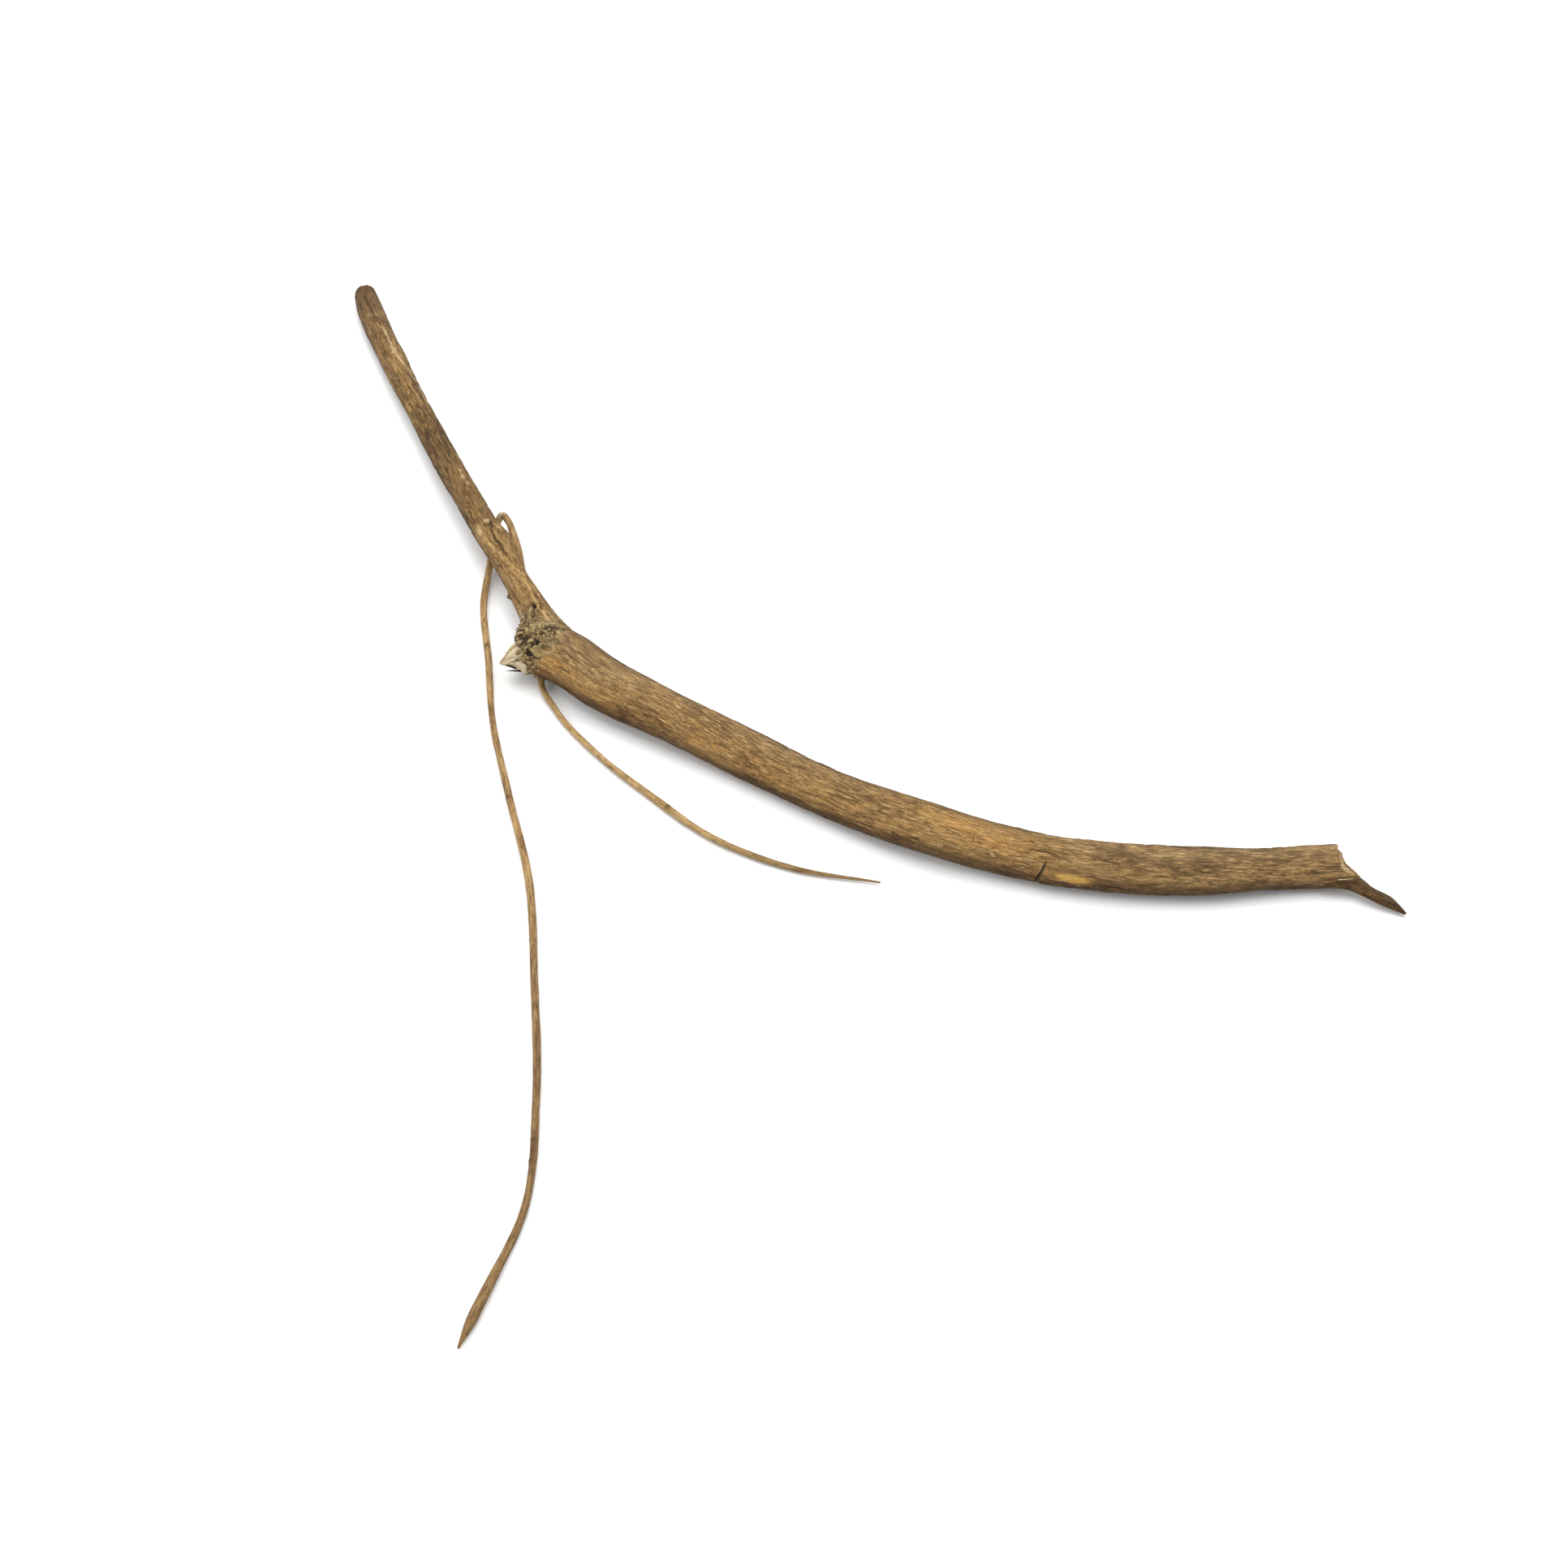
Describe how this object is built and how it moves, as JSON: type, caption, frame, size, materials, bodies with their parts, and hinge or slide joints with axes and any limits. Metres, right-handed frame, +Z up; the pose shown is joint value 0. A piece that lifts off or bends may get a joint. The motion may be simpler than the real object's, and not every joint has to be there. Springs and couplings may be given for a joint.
{
  "type": "dried devils shoestring root",
  "caption": "Dried woody root with a slim arm, a rough broken knot, a thick bowed body with a torn end and fine trailing rootlets.",
  "frame": {"origin": "on the plane the root rests on, under the middle of its bounding box", "axes": "+Z up; +Y towards the tip of the slim arm; +X towards the torn end of the thick body"},
  "size_m": [0.2179, 0.271, 0.0129],
  "materials": {
    "dry_bark": "dull, dry, brown bark with fibrous streaks along the grain, and pale torn wood at the breaks"
  },
  "bodies": {
    "root": {"root": "dry_bark"}
  },
  "joints": []
}
